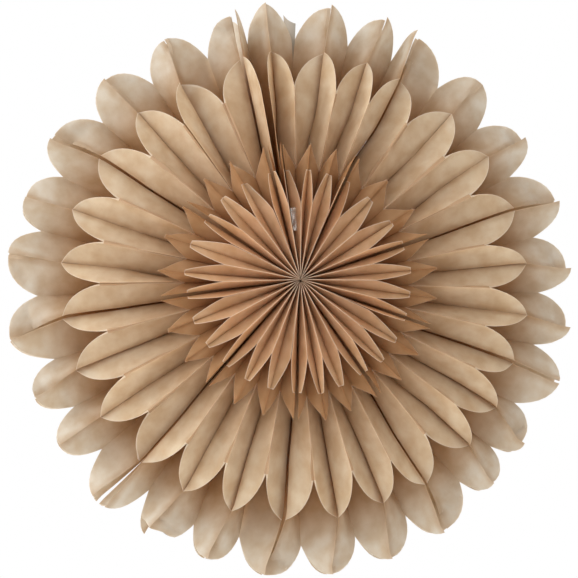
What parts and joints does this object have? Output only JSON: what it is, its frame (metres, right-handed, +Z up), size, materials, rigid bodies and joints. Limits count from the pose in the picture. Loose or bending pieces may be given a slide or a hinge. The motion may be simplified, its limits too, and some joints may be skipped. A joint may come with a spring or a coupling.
{
  "type": "paper star",
  "caption": "Round fold-out paper star: die cut leaves folded in a zigzag and glued in a ring, opened into layered petals, for hanging as a decoration.",
  "frame": {"origin": "centre of the star, on the axis of its fan and in its middle plane", "axes": "+Z up as it hangs, towards the closing notch; the axis of the fan runs along Y and the front looks along -Y"},
  "size_m": [0.4476, 0.169, 0.4492],
  "materials": {
    "paper": "matt",
    "tape": "clear, glossy"
  },
  "bodies": {
    "root": {"leaf_01": "paper", "leaf_02": "paper", "leaf_03": "paper", "leaf_04": "paper", "leaf_05": "paper", "leaf_06": "paper", "leaf_07": "paper", "leaf_08": "paper", "leaf_09": "paper", "leaf_10": "paper", "leaf_11": "paper", "leaf_12": "paper", "leaf_13": "paper", "leaf_14": "paper", "leaf_15": "paper", "leaf_16": "paper", "leaf_17": "paper", "leaf_18": "paper", "leaf_19": "paper", "leaf_20": "paper", "leaf_21": "paper", "leaf_22": "paper", "leaf_23": "paper", "leaf_24": "paper", "leaf_25": "paper", "leaf_26": "paper", "leaf_27": "paper", "leaf_28": "paper", "leaf_29": "paper", "leaf_30": "paper", "leaf_31": "paper", "leaf_32": "paper", "leaf_33": "paper", "leaf_34": "paper", "leaf_35": "paper", "leaf_36": "paper", "leaf_37": "paper", "leaf_38": "paper", "leaf_39": "paper", "leaf_40": "paper", "leaf_41": "paper", "leaf_42": "paper", "leaf_43": "paper", "leaf_44": "paper", "leaf_45": "paper", "leaf_46": "paper", "leaf_47": "paper", "leaf_48": "paper", "leaf_49": "paper", "leaf_50": "paper", "leaf_51": "paper", "leaf_52": "paper", "leaf_53": "paper", "leaf_54": "paper", "leaf_55": "paper", "leaf_56": "paper", "closing_tab": "paper", "closing_tape": "tape"}
  },
  "joints": []
}
